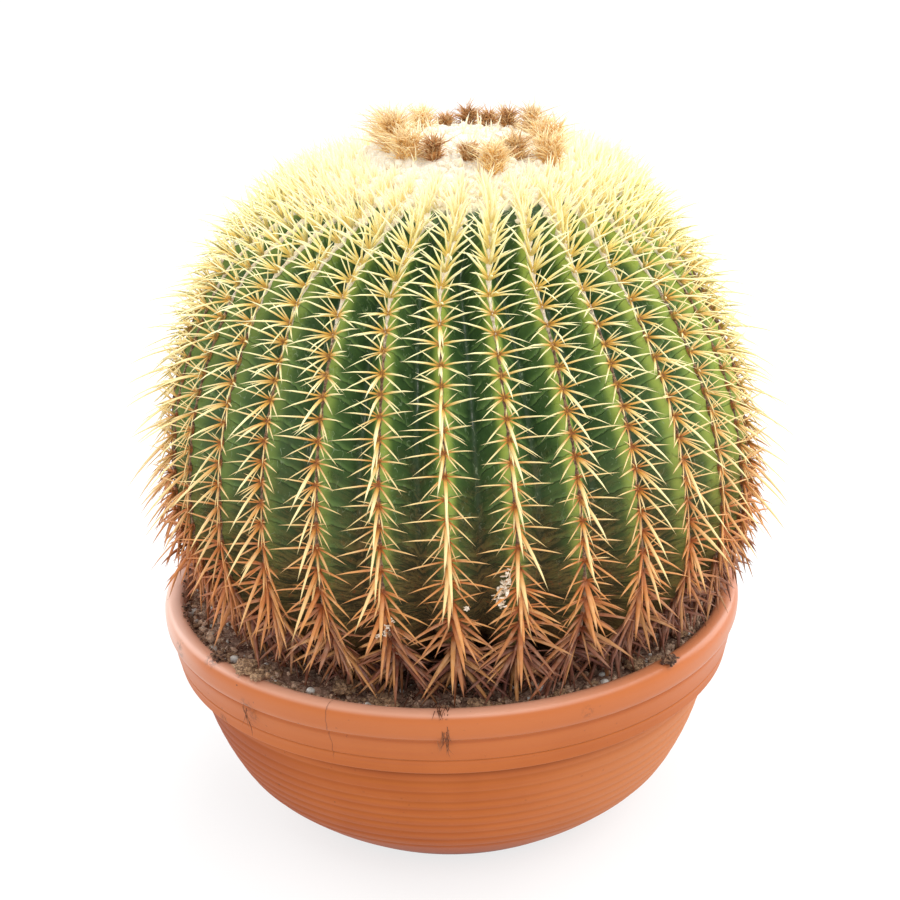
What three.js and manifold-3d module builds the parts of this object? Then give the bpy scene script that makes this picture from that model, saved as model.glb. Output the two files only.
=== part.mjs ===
// A potted golden barrel cactus: a ribbed round stem in a wide clay bowl.
// Millimetres, +Z up. The origin is the centre of the bowl's foot, on the surface it stands on.
// The plant's front faces -Y.
import * as THREE from "three";
import Module from "manifold-3d";
import { mergeVertices } from "three/addons/utils/BufferGeometryUtils.js";

const wasm = await Module();
wasm.setup();

// ---------------------------------------------------------------- driving dimensions
const GAP = 0.35; // clearance between solids that touch on the real plant

const RIM_R = 200; // widest radius of the rolled rim
const RIM_TOP = 156; // height of the rim above the surface
const RIM_WIDTH = 15; // thickness of the rolled rim, outside to inside
const BAND_R = 192.3; // radius of the band under the rim, at its lower edge
const BAND_FOOT = 112; // lower edge of the band
const FLOOR = 10; // thickness of the bowl's floor
const INSIDE_FOOT_R = 112; // radius of the floor, inside
const FOOT_R = 114; // radius of the flat foot
const POT_SIDES = 60; // facets around the bowl and the soil
const DRAIN_HOLES = 4;
const DRAIN_R = 7; // radius of a drainage hole
const DRAIN_RING = 62; // the holes' distance from the axis

const SOIL_TOP = 146; // height of the soil's surface

const RIBS = 30;
const RIB_STEP = (2 * Math.PI) / RIBS;
const FIRST_RIB = THREE.MathUtils.degToRad(-2.7); // turn of the rib nearest to -Y
const VALLEY_DEPTH = 23; // a rib's height above the valleys beside it
const STEM_RINGS = 17; // rings of facets up the stem
const CROWN_R = 44; // radius of the woolly growing point
const CROWN_TOP = 457; // height of the stem's apex
const WOOL_THICK = 7;

// Dried flowers in a ring round the growing point: angle in degrees from -Y, distance from the
// apex, height, and radius of the tuft where it is widest.
const FLOWERS = [
  [-95, 56, 24, 11], [-70, 55, 26, 11], [-45, 57, 22, 10], [-23, 53, 17, 9], [3, 51, 13, 6],
  [16, 62, 20, 8], [38, 54, 18, 10], [56, 64, 19, 10], [88, 56, 20, 10], [122, 57, 22, 10],
  [142, 52, 17, 7], [160, 56, 14, 6], [175, 60, 18, 8], [190, 63, 12, 7], [210, 58, 20, 8],
];
const FLOWER_BASE_R = 4;
const FLOWER_EDGE_R = 70; // the stem is smooth within this radius, under wool and flowers

// Bark chips on the soil: angle, distance from the bowl's axis, and half length, width, height.
// The first one lies up on the rim.
const CHIPS = [
  [-44, 191, 9, 7, 4], [-25, 164, 10, 6, 3.5], [-15, 171, 9, 5, 3], [5, 174, 8, 5, 3],
  [22, 176, 6, 4, 2.5], [42, 173, 9, 6, 3.5], [60, 174, 7, 5, 3],
];

// The largest perlite grains: angle, distance from the bowl's axis, radius.
const PERLITE = [[-31, 176, 3], [-53, 178, 3.6], [19, 165, 3.4], [32, 178, 3]];

const ROW_START = 0.27; // where a row of spines starts on the crest curve, 0 base to 1 apex
const ROW_END = 0.86;
const ROW_TEETH = 12; // groups of spines in a row
const ROW_LIFT = 0.35; // a row's underside above the crest
const FELT_HALF = 2.6; // half the width of the felt strip that joins the areoles
const SPINE_SIDE = 18.5; // sideways reach of the side spines at the widest part
const SPINE_OUT = 21; // outward reach of the central spines
const SPINE_LEAN = 9; // how far the groups lean up near the crown, and down near the soil

// The crest line of a rib in the (radius, height) plane, from the buried base to the apex.
const crest = new THREE.SplineCurve(
  [
    [0, 114], [62, 117], [104, 134], [140, 156], [172, 180], [189, 205], [195.5, 243],
    [189, 301], [172, 349], [146, 393], [109, 426], [78, 444], [42, 455], [0, CROWN_TOP],
  ].map(([r, z]) => new THREE.Vector2(r, z)),
);

// ---------------------------------------------------------------- helpers
const smooth = (edge0, edge1, v) => THREE.MathUtils.smoothstep(v, edge0, edge1);

// The stem stands a little to the +X side of the bowl's axis, and its growing point leans on.
const axisShift = (z) => 11 - 0.024 * (z - 150) + 13 * smooth(395, 448, z);

const polar = (r, angle, z) =>
  new THREE.Vector3(r * Math.sin(angle), -r * Math.cos(angle), z);

function material(color, roughness) {
  return new THREE.MeshStandardMaterial({ color, roughness, metalness: 0 });
}

// Keeps a geometry's positions only and merges the vertices that seams and caps repeat.
function closed(geometry) {
  geometry.deleteAttribute("normal");
  geometry.deleteAttribute("uv");
  return mergeVertices(geometry, 1e-3);
}

// Turns a (radius, height) outline about +Z.
function turned(points, sides) {
  const outline = points.map(([r, z]) => new THREE.Vector2(r, z));
  return closed(new THREE.LatheGeometry(outline, sides).rotateX(Math.PI / 2));
}

function toManifold(geometry) {
  return new wasm.Manifold(
    new wasm.Mesh({
      numProp: 3,
      vertProperties: new Float32Array(geometry.attributes.position.array),
      triVerts: new Uint32Array(geometry.index.array),
    }),
  );
}

function fromManifold(solid) {
  const mesh = solid.getMesh();
  const geometry = new THREE.BufferGeometry();
  geometry.setAttribute("position", new THREE.BufferAttribute(mesh.vertProperties, 3));
  geometry.setIndex(new THREE.BufferAttribute(mesh.triVerts, 1));
  return geometry;
}

// Moves every vertex of a geometry by a function that gets and returns a Vector3.
function reshaped(geometry, move) {
  const position = geometry.attributes.position;
  for (let i = 0; i < position.count; i += 1) {
    const p = move(new THREE.Vector3().fromBufferAttribute(position, i));
    position.setXYZ(i, p.x, p.y, p.z);
  }
  return geometry;
}

const plant = new THREE.Group();

function addPiece(name, geometry, finish) {
  const mesh = new THREE.Mesh(geometry, finish);
  mesh.name = name;
  plant.add(mesh);
  return mesh;
}

// ---------------------------------------------------------------- bowl
const clay = material(0xc9733f, 0.55);

// The inside of the bowl, from the floor up to the rolled rim.
const INNER_RIM_R = RIM_R - RIM_WIDTH;
const bowlInside = (z) => {
  const t = THREE.MathUtils.clamp((z - FLOOR) / (BAND_FOOT - FLOOR), 0, 1);
  return INSIDE_FOOT_R + (INNER_RIM_R - 8 - INSIDE_FOOT_R) * Math.pow(t, 0.55);
};

function bowl() {
  const rimCentre = RIM_R - RIM_WIDTH / 2;
  const outline = [
    [0, 0], [FOOT_R, 0], [FOOT_R + 5, 3], [137, 17], [154.5, 34], [164.5, 51], [172.5, 70],
    [178.5, 90], [182, BAND_FOOT - 5], [BAND_R - 2, BAND_FOOT - 1.5], [BAND_R, BAND_FOOT + 1],
    [BAND_R + 2, 121], [197.5, 137], [RIM_R - 1, 140], [RIM_R, 148], [RIM_R - 2, 153],
    [rimCentre, RIM_TOP],
    [INNER_RIM_R + 1.5, 153], [INNER_RIM_R, 146],
    ...[BAND_FOOT, 85, 60, 38, 20].map((z) => [bowlInside(z), z]),
    [bowlInside(FLOOR), FLOOR], [0, FLOOR],
  ];
  let solid = toManifold(turned(outline, POT_SIDES));
  for (let i = 0; i < DRAIN_HOLES; i += 1) {
    const drill = new THREE.CylinderGeometry(DRAIN_R, DRAIN_R, 4 * FLOOR, 16).rotateX(Math.PI / 2);
    const place = polar(DRAIN_RING, (i * 2 * Math.PI) / DRAIN_HOLES, 0);
    solid = solid.subtract(toManifold(closed(drill.translate(place.x, place.y, 0))));
  }
  return fromManifold(solid);
}
addPiece("pot", bowl(), clay);

// ---------------------------------------------------------------- stem
const green = material(0x355f2f, 0.5);
const stemOutline = crest.getPoints(STEM_RINGS);

// How far the surface lies below the crest line, at an angle, radius and height.
function valleyDepth(angle, radius, height) {
  const phase = ((angle - FIRST_RIB) / RIB_STEP) % 1;
  const across = 2 * Math.abs(phase - Math.round(phase)); // 0 on a crest, 1 in a valley
  const fade = smooth(FLOWER_EDGE_R, 130, radius) * smooth(120, 165, height);
  return VALLEY_DEPTH * fade * Math.pow(across, 0.75);
}

function stem() {
  const outline = stemOutline.map((p) => p.toArray());
  const geometry = turned(outline, RIBS * 4).rotateZ(FIRST_RIB);
  return reshaped(geometry, (p) => {
    const radius = Math.hypot(p.x, p.y);
    const angle = Math.atan2(p.x, -p.y);
    const q = polar(Math.max(radius - valleyDepth(angle, radius, p.z), 0), angle, p.z);
    q.x += axisShift(p.z);
    return q;
  });
}
addPiece("stem", stem(), green);

// ---------------------------------------------------------------- soil
const peat = material(0x3a2b22, 0.95);

// The soil fills the bowl and leaves the seat of the stem's rounded base.
function soil() {
  const side = [20, 38, 60, 85, BAND_FOOT].map((z) => [bowlInside(z) - GAP, z]);
  const filling = turned(
    [
      [0, FLOOR + GAP], [INSIDE_FOOT_R - GAP - 1, FLOOR + GAP], ...side,
      [INNER_RIM_R - GAP, SOIL_TOP], [0, SOIL_TOP],
    ],
    POT_SIDES,
  );
  const buried = crest.getPoints(60).filter((p) => p.y < SOIL_TOP + 30 && p.x < RIM_R);
  const seatOutline = [
    [0, buried[0].y - GAP],
    ...buried.slice(1).map((p) => [p.x + 3 * GAP, p.y - GAP]),
    [0, buried[buried.length - 1].y - GAP],
  ];
  const seat = turned(seatOutline, POT_SIDES).translate(axisShift(SOIL_TOP), 0, 0);
  return fromManifold(toManifold(filling).subtract(toManifold(seat)));
}
addPiece("soil", soil(), peat);

// ---------------------------------------------------------------- crown
const wool = material(0xf2ead2, 0.95);
const straw = material(0xe0b25e, 0.6);
const apexShift = axisShift(CROWN_TOP);

// Height and slope of the stem's surface over a radius near the apex.
function crownSurface(radius) {
  const inner = stemOutline.findIndex((p) => p.y > SOIL_TOP + 150 && p.x <= radius);
  const [low, high] = [stemOutline[inner - 1], stemOutline[inner]];
  const slope = (low.y - high.y) / (low.x - high.x);
  return { height: high.y + slope * (radius - high.x), slope };
}

function crownWool() {
  const inner = stemOutline.filter((p) => p.y > SOIL_TOP && p.x < CROWN_R - 4 && p.x > 0);
  const under = inner.reverse().map((p) => [p.x, p.y + GAP]);
  under.push([CROWN_R, crownSurface(CROWN_R).height + GAP]);
  const over = [0.97, 0.75, 0.45].map((t) => {
    const r = CROWN_R * t;
    return [r, crownSurface(r).height + GAP + WOOL_THICK * Math.sqrt(1.05 - t * t)];
  });
  const top = CROWN_TOP + GAP;
  const outline = [[0, top], ...under, ...over, [0, top + WOOL_THICK]];
  return turned(outline, 24).translate(apexShift, 0, 0);
}
addPiece("crown_wool", crownWool(), wool);

function driedFlower(height, radius) {
  const outline = [
    [0, 0], [FLOWER_BASE_R, 0], [radius * 0.8, height * 0.45], [radius, height * 0.78],
    [radius * 0.55, height], [0, height * 0.92],
  ];
  return turned(outline, 8);
}
FLOWERS.forEach(([degrees, ring, height, radius], i) => {
  const angle = THREE.MathUtils.degToRad(degrees);
  const seat = crownSurface(ring);
  const place = polar(ring, angle, seat.height + 1.3 * GAP);
  const tuft = driedFlower(height, radius);
  tuft.rotateX(-Math.atan(seat.slope)).rotateZ(angle);
  tuft.translate(place.x + apexShift, place.y, place.z);
  addPiece(`dried_flower_${String(i + 1).padStart(2, "0")}`, tuft, straw);
});

// ---------------------------------------------------------------- on the soil
const bark = material(0x8a6a4a, 0.9);
const perlite = material(0xf0eee8, 0.9);

// A rough stone or chip of a given half size, its lowest point at height 0.
function lump(length, width, height, seed) {
  const rough = closed(new THREE.IcosahedronGeometry(1, 0));
  reshaped(rough, (p) => {
    const swell = 1 + 0.16 * Math.sin(7 * p.x + 5 * p.y + 3 * p.z + seed);
    return p.multiplyScalar(swell).multiply(new THREE.Vector3(length, width, height));
  });
  rough.computeBoundingBox();
  return rough.translate(0, 0, -rough.boundingBox.min.z);
}

function lay(name, solid, finish, degrees, distance, seat) {
  const angle = THREE.MathUtils.degToRad(degrees);
  const place = polar(distance, angle, seat + GAP);
  addPiece(name, solid.rotateZ(angle).translate(place.x, place.y, place.z), finish);
}
CHIPS.forEach(([degrees, distance, ...half], i) => {
  const seat = distance > INNER_RIM_R ? RIM_TOP : SOIL_TOP;
  lay(`bark_chip_${i + 1}`, lump(...half, i), bark, degrees, distance, seat);
});
PERLITE.forEach(([degrees, distance, radius], i) => {
  const grain = lump(radius, radius * 0.85, radius * 0.8, i + 0.5);
  lay(`perlite_${i + 1}`, grain, perlite, degrees, distance, SOIL_TOP);
});

// ---------------------------------------------------------------- rows of spines
// A felt strip along one crest, drawn out into a group of spines at every tooth.
// It is a three-sided bar: corner 0 is the outer edge, corners 1 and 2 lie beside the crest.
function spineRow(angle) {
  const stations = 2 * ROW_TEETH;
  const bar = closed(new THREE.CylinderGeometry(1, 1, stations, 3, stations));
  const side = new THREE.Vector3(Math.cos(angle), Math.sin(angle), 0);
  return reshaped(bar, (p) => {
    const station = p.y + stations / 2;
    const t = ROW_START + (ROW_END - ROW_START) * (station / stations);
    const on = crest.getPoint(t);
    const along = crest.getTangent(t);
    const outward = polar(along.y, angle, -along.x);
    const upward = polar(along.x, angle, along.y);
    const tooth = Math.round(station) % 2 === 1;
    const width = tooth ? (SPINE_SIDE * on.x) / 195 : FELT_HALF;
    const reach = tooth ? SPINE_OUT : 2 * FELT_HALF;
    const lean = tooth ? SPINE_LEAN * (smooth(0.45, 1, t) + smooth(0.2, 0.7, t) - 1) : 0;
    const across = p.x * 1.1547 * width; // the bar's corners lie at x = +-0.866
    const outer = THREE.MathUtils.clamp(p.z, 0, 1) * reach;
    const q = polar(on.x, angle, on.y);
    q.addScaledVector(side, across);
    q.addScaledVector(outward, ROW_LIFT + outer + (tooth ? Math.abs(across) * 0.35 : 0));
    q.addScaledVector(upward, lean);
    q.x += axisShift(on.y);
    return q;
  });
}
for (let i = 0; i < RIBS; i += 1) {
  const name = `spine_row_${String(i + 1).padStart(2, "0")}`;
  addPiece(name, spineRow(FIRST_RIB + i * RIB_STEP), straw);
}

export default plant;
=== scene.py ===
import math
import random

import bmesh
import bpy
import numpy as np
from mathutils import Matrix, Vector, noise


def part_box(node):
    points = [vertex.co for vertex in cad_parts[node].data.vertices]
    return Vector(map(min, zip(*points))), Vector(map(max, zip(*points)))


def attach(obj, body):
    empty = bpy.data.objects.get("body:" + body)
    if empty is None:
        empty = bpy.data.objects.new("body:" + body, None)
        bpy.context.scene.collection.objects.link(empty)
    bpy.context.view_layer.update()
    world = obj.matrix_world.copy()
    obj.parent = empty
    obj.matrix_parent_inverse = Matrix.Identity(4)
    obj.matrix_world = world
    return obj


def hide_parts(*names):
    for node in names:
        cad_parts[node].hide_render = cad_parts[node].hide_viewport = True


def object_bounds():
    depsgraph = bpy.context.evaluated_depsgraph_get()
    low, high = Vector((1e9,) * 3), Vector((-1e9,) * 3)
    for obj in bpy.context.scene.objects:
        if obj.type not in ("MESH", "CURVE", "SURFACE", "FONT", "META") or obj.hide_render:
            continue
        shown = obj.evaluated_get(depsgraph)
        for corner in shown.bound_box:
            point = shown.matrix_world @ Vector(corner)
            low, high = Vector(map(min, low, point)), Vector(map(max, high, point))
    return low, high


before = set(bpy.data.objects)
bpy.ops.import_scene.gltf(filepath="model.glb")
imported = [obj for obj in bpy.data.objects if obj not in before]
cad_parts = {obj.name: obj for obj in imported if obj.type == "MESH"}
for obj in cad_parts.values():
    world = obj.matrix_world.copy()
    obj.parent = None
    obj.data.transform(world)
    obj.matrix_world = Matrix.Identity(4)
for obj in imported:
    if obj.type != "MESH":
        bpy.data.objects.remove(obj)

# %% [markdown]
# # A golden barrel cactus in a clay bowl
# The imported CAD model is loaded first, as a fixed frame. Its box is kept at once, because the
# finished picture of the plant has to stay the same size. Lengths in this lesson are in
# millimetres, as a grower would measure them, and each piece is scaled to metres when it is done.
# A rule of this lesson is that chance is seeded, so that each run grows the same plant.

cad_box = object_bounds()
MM = 0.001
FULL_TURN = 2 * math.pi
dice = random.Random(30)


def smooth(low, high, value):
    """0 below low, 1 above high, and a soft step between them."""
    t = min(max((value - low) / (high - low), 0.0), 1.0)
    return t * t * (3 - 2 * t)


def polar(radius, angle, height):
    """A point at an angle from the front, which faces -Y, turning towards +X."""
    return Vector((radius * math.sin(angle), -radius * math.cos(angle), height))


def spread(amount):
    """A random number between -amount and +amount."""
    return dice.uniform(-amount, amount)


def scatter(x, y, z):
    """A vector with random parts up to the given amounts. An amount of 0 draws no number."""
    return Vector([spread(amount) if amount else 0 for amount in (x, y, z)])


def box_mm(node):
    """The lowest and highest corner of a CAD node, in millimetres."""
    low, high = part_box(node)
    return low / MM, high / MM


print("CAD box, mm:", [round(v / MM, 1) for corner in cad_box for v in corner])

# %% [markdown]
# ## Camera and light
# The camera looks a little down on the plant with a long lens, as a person does who steps back to
# take in the whole of it. A pale even sky and a wide soft sun, high in front and a little to the
# right, light all of it. Three softboxes behind the plant brighten the spines along its outline
# and the woolly crown, and leave the soil under the ribs in shade.

# %% Camera
CAMERA_AT = Vector((0, -1161.4, 711.2))
LOOKS_AT = Vector((0, 0, 249))
CAMERA_ROLL = math.radians(-1.85)
LENS, SENSOR = 73.0, 36.0
SIDE_SHIFT = 0.0036

camera_data = bpy.data.cameras.new("camera")
camera_data.lens = LENS
camera_data.sensor_width = SENSOR
camera_data.shift_x = SIDE_SHIFT
camera = bpy.data.objects.new("camera", camera_data)
bpy.context.scene.collection.objects.link(camera)
aim = (LOOKS_AT - CAMERA_AT).to_track_quat("-Z", "Y").to_matrix().to_4x4()
camera.matrix_world = (
    Matrix.Translation(CAMERA_AT * MM) @ aim @ Matrix.Rotation(CAMERA_ROLL, 4, "Z")
)
bpy.context.scene.camera = camera
print("camera distance, mm:", round((LOOKS_AT - CAMERA_AT).length))

# %% Sky and lamps
SKY_COLOUR = (0.99, 0.995, 1.0, 1)
SKY_STRENGTH = 0.92
SUN_HEADING = (-0.42, 0.3, -1)
SOFTBOXES = [  # name, place in metres, energy and size
    ("left_softbox", (-1.55, 0.95, 1.0), 14, 1.3),
    ("right_softbox", (1.55, 0.85, 0.9), 15.5, 1.3),
    ("back_softbox", (0.1, 1.35, 1.9), 13, 1.0),
]

scene = bpy.context.scene
scene.view_settings.view_transform = "Standard"
scene.world = bpy.data.worlds.new("pale sky")
scene.world.use_nodes = True
sky = scene.world.node_tree.nodes["Background"]
sky.inputs["Color"].default_value = SKY_COLOUR
sky.inputs["Strength"].default_value = SKY_STRENGTH


def add_lamp(name, kind, place, heading, **settings):
    """A lamp at a place in metres, which shines along a heading."""
    data = bpy.data.lights.new(name, kind)
    for setting, value in settings.items():
        setattr(data, setting, value)
    lamp = bpy.data.objects.new(name, data)
    scene.collection.objects.link(lamp)
    lamp.location = place
    lamp.rotation_euler = Vector(heading).to_track_quat("-Z", "Y").to_euler()


add_lamp("soft_top_light", "SUN", (0, 0, 0), SUN_HEADING,
         energy=1.75, angle=math.radians(60), color=(1.0, 0.985, 0.955))
for name, place, energy, size in SOFTBOXES:
    add_lamp(name, "AREA", place, LOOKS_AT * MM - Vector(place), energy=energy, size=size)
print("lamps:", 1 + len(SOFTBOXES))

# %% [markdown]
# ## A short way to write materials
# A finish on the real plant changes over its surface: green turns to cork, spines pale towards
# their tips. Such changes are sums and mixes of patterns. Linking dozens of nodes by hand hides
# the idea, so a small class wraps an output socket: arithmetic on it adds the Math nodes. A
# second class holds a material and the colour it has so far, which each call to paint covers in
# part with another one.

# %% Wires and finishes
class Wire:
    """An output socket that can be used in arithmetic."""

    def __init__(self, finish, socket):
        self.finish = finish
        self.socket = socket

    def math(self, operation, first, second=0.0):
        return self.finish.add("ShaderNodeMath", {"operation": operation}, {0: first, 1: second})

    def __add__(self, other):
        return self.math("ADD", self, other)

    def __sub__(self, other):
        return self.math("SUBTRACT", self, other)

    def __rsub__(self, other):
        return self.math("SUBTRACT", other, self)

    def __mul__(self, other):
        return self.math("MULTIPLY", self, other)

    def __pow__(self, other):
        return self.math("POWER", self, other)

    __radd__ = __add__
    __rmul__ = __mul__

    def __abs__(self):
        return self.math("ABSOLUTE", self)

    def fract(self):
        return self.math("FRACT", self)

    def step(self, low, high):
        """0 below low, 1 above high, and a soft step between them."""
        return self.finish.add(
            "ShaderNodeMapRange",
            {"interpolation_type": "SMOOTHSTEP"},
            {"Value": self, "From Min": low, "From Max": high},
        )

    def fall(self, low, high):
        """1 below low, 0 above high, and a soft step between them."""
        return 1 - self.step(low, high)

    def line(self, middle, wide):
        """1 where the value is middle, fading to 0 at that width to either side."""
        return abs(self - middle).fall(0, wide)


def rgb(red, green, blue):
    """A colour from the 0 to 255 values of a colour card, as the linear values Blender mixes."""
    linear = [
        c / 12.92 if c <= 0.04045 else ((c + 0.055) / 1.055) ** 2.4
        for c in (red / 255, green / 255, blue / 255)
    ]
    return (*linear, 1.0)


class Finish:
    """One material, the colour it has so far, and the calls that add nodes to it."""

    def __init__(self, name, **constants):
        self.material = bpy.data.materials.new(name)
        self.material.use_nodes = True
        self.nodes = self.material.node_tree.nodes
        self.links = self.material.node_tree.links
        self.shader = self.nodes["Principled BSDF"]
        for socket, value in constants.items():
            self.shader.inputs[socket.replace("_", " ")].default_value = value
        self.at = self.add("ShaderNodeTexCoord", output="Object")
        self.colour = None

    def feed(self, socket, value):
        if isinstance(value, Wire):
            self.links.new(value.socket, socket)
        else:
            socket.default_value = value

    def add(self, kind, settings=None, sockets=None, output=0):
        """Adds a node, sets it up, feeds its sockets, and returns one output as a Wire."""
        node = self.nodes.new(kind)
        for name, value in (settings or {}).items():
            setattr(node, name, value)
        for name, value in (sockets or {}).items():
            self.feed(node.inputs[name], value)
        return Wire(self, node.outputs[output])

    def part(self, axis):
        """How far along an axis a point lies, in millimetres."""
        return self.add("ShaderNodeSeparateXYZ", sockets={"Vector": self.at}, output=axis) * 1000

    def stretched(self, x, y, z):
        """The place of a point with its axes scaled, which stretches a pattern."""
        return self.add(
            "ShaderNodeVectorMath", {"operation": "MULTIPLY"}, {0: self.at, 1: (x, y, z)}
        )

    def ring(self):
        """The distance from the bowl's axis, in millimetres."""
        lengths = {"operation": "LENGTH"}
        flat = self.stretched(1, 1, 0)
        return self.add("ShaderNodeVectorMath", lengths, {0: flat}, output="Value") * 1000

    def attribute(self, name):
        return self.add("ShaderNodeAttribute", {"attribute_name": name}, output="Fac")

    def noise(self, size, detail=3.0, roughness=0.55, at=None):
        """Soft random patches of about that size, in millimetres."""
        return self.add(
            "ShaderNodeTexNoise",
            sockets={
                "Vector": at or self.at,
                "Scale": 1 / (size * MM),
                "Detail": detail,
                "Roughness": roughness,
            },
        )

    def cells(self, size):
        """The distance from random points that lie about that far apart, in millimetres."""
        return self.add(
            "ShaderNodeTexVoronoi",
            sockets={"Vector": self.at, "Scale": 1 / (size * MM)},
            output="Distance",
        )

    def mix(self, share, first, second):
        """A colour between two, at a share from 0 to 1."""
        return self.add(
            "ShaderNodeMix", {"data_type": "RGBA"}, {0: share, 6: first, 7: second}, output=2
        )

    def paint(self, share, colour):
        """Covers the colour so far with another one, at a share from 0 to 1."""
        self.colour = self.mix(share, self.colour, colour)

    def by_age(self, age, stops):
        """A colour that runs through the given colours as the age goes from 0 to 1."""
        colour = stops[0][1]
        for (start, _), (end, following) in zip(stops, stops[1:]):
            colour = self.mix(age.step(start, end), colour, following)
        return colour

    def glow(self, colour, strength):
        """The light that comes through thin, pale parts."""
        self.feed(self.shader.inputs["Emission Color"], colour)
        self.shader.inputs["Emission Strength"].default_value = strength

    def done(self, roughness=None, height=None, depth=1.0):
        """Feeds the shader. depth is the bump's full height, in millimetres."""
        self.feed(self.shader.inputs["Base Color"], self.colour)
        if roughness is not None:
            self.feed(self.shader.inputs["Roughness"], roughness)
        if height is not None:
            sockets = {"Height": height, "Distance": depth * MM, "Strength": 1.0}
            bump = self.add("ShaderNodeBump", sockets=sockets)
            self.feed(self.shader.inputs["Normal"], bump)
        return self.material


# %% Turning a mesh into a piece
total_faces = 0


def object_of(name, bm, material, soft=True):
    """Makes an object of a bmesh in millimetres, and frees the bmesh."""
    bmesh.ops.scale(bm, vec=Vector((MM, MM, MM)), verts=bm.verts)
    mesh = bpy.data.meshes.new(name)
    for face in bm.faces:
        face.smooth = soft
    bm.to_mesh(mesh)
    bm.free()
    mesh.materials.append(material)
    made = bpy.data.objects.new(name, mesh)
    scene.collection.objects.link(made)
    return made


def add_piece(name, bm, material, nodes=(), soft=True):
    """Makes a piece of a bmesh. It rides on the one body the model has."""
    global total_faces
    piece = object_of(name, bm, material, soft)
    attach(piece, "root")
    if nodes:
        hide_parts(*nodes)
    faces = sum(len(p.vertices) - 2 for p in piece.data.polygons)
    total_faces += faces
    print(f"{name}: {faces} triangles")


def spun(outline, steps):
    """Turns a (radius, height) outline about the vertical axis into a closed ring of faces."""
    bm = bmesh.new()
    row = [bm.verts.new(polar(radius, 0, height)) for radius, height in outline]
    for low, high in zip(row, row[1:]):
        bm.edges.new((low, high))
    bmesh.ops.spin(
        bm, geom=bm.verts[:] + bm.edges[:], cent=(0, 0, 0), axis=(0, 0, 1), dvec=(0, 0, 0),
        angle=FULL_TURN, steps=steps, use_merge=True,
    )
    bmesh.ops.remove_doubles(bm, verts=bm.verts, dist=1e-4)
    bmesh.ops.recalc_face_normals(bm, faces=bm.faces)
    return bm


def soft_curve(points, step):
    """Points about every step along a smooth curve through the given ones."""
    made = []
    for i in range(len(points) - 1):
        before, start, end, after = (
            Vector(points[min(max(i + k, 0), len(points) - 1)]) for k in (-1, 0, 1, 2)
        )
        count = max(1, round((end - start).length / step))
        for k in range(count):
            t = k / count
            made.append(
                0.5 * (2 * start + (end - before) * t
                       + (2 * before - 5 * start + 4 * end - after) * t * t
                       + (3 * start - before - 3 * end + after) * t ** 3)
            )
    return made + [Vector(points[-1])]


# %% [markdown]
# ## Floor
# A pale studio floor is only a stage. A flat grid is enough, large enough that its edge is never
# in view, and it is not made a piece of the plant.

# %% Floor
FLOOR_REACH = 40000

paper = Finish("studio paper", Roughness=0.9, Emission_Color=(1, 1, 1, 1), Emission_Strength=0.76)
paper.colour = paper.mix(paper.noise(400), rgb(126, 126, 126), rgb(129, 129, 129))
floor_bm = bmesh.new()
bmesh.ops.create_grid(floor_bm, x_segments=1, y_segments=1, size=FLOOR_REACH)
floor = object_of("floor", floor_bm, paper.done(), soft=False)
print("floor, m:", [round(v, 1) for v in floor.dimensions])

# %% [markdown]
# ## The bowl
# The bowl is thrown clay in the shape of a shallow pan: a rolled rim, a plain band under it with a
# fine line, a ledge, and a body with shallow turning grooves down to the foot. It could be a
# lathe modifier on a curve, but a spun outline in bmesh keeps every groove where it is wanted.

# %% Bowl outline
BOWL_STEPS = 180
GROOVES = (97, 87.5, 79, 71.5, 64, 56.3, 48.7, 40.5, 32)
GROOVE_DEPTH, GROOVE_WIDTH = 0.85, 1.3
# The outline's parts, as points of radius and height.
FOOT_LINE = [(0, 0), (60, 0), (112, 0), (115.5, 0.5)]
BODY = [(119, 3), (137, 17), (154.5, 34), (164.5, 51), (172.5, 70), (178.5, 90), (182, 106.5)]
BAND = [
    (183.0, 108.6), (185.8, 109.6), (189.4, 110.0), (191.6, 111.0), (192.5, 113.4), (193.4, 118),
    (193.9, 120.4), (193.1, 121.2), (194.3, 122.0), (195.2, 127), (196.0, 132.4),
    (196.0, 134.6), (195.2, 136.2), (196.2, 137.6), (198.4, 138.6),
    (199.6, 141.5), (200, 146), (199.9, 149.5), (198.8, 152.6), (196.8, 154.8), (194.2, 155.8),
    (191.6, 156), (189, 155.4), (186.9, 153.8), (185.5, 151), (185, 147.5), (184.6, 142),
    (184, 132), (182, 118),
]
INSIDE = [(182, 118), (174, 100), (165, 80), (152, 55), (137, 32), (124, 16), (112, 10), (60, 10)]


def groove(height):
    """How deep the turning grooves are at a height."""
    return sum(
        GROOVE_DEPTH * math.exp(-(((height - line) / GROOVE_WIDTH) ** 2)) for line in GROOVES
    )


pot_line = FOOT_LINE + [(r - groove(z), z) for r, z in soft_curve(BODY, 1.3)]
pot_line += soft_curve(BAND, 0.9) + soft_curve(INSIDE, 8)[1:] + [(0, INSIDE[-1][1])]
print("points on the bowl's outline:", len(pot_line))

# %% [markdown]
# The clay is warm orange with a satin skin. Its colour clouds a little and has fine dark specks.
# Painted shade darkens the foot and the left of the body, painted light pales its right, and the
# rim has painted light and highlights. Thin smears of mud have dried on the band and the ledge,
# and they are painted by the distance from their middles.

# %% Clay
clay = Finish("fired clay", IOR=1.22, Coat_IOR=1.55, Coat_Roughness=0.28)
clay_x, clay_y, clay_up = (clay.part(axis) for axis in "XYZ")
clay_ring = clay.ring()
clouds = clay.noise(90, 4)
turning = clay.noise(14, 3, at=clay.stretched(0.12, 0.12, 4.0))
grit = clay.noise(1.6, 2)
clay.colour = clay.mix(clouds.step(0.3, 0.7), rgb(177, 93, 44), rgb(190, 104, 53))
clay.paint(turning.step(0.35, 0.75) * 0.35, rgb(196, 111, 47))
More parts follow.
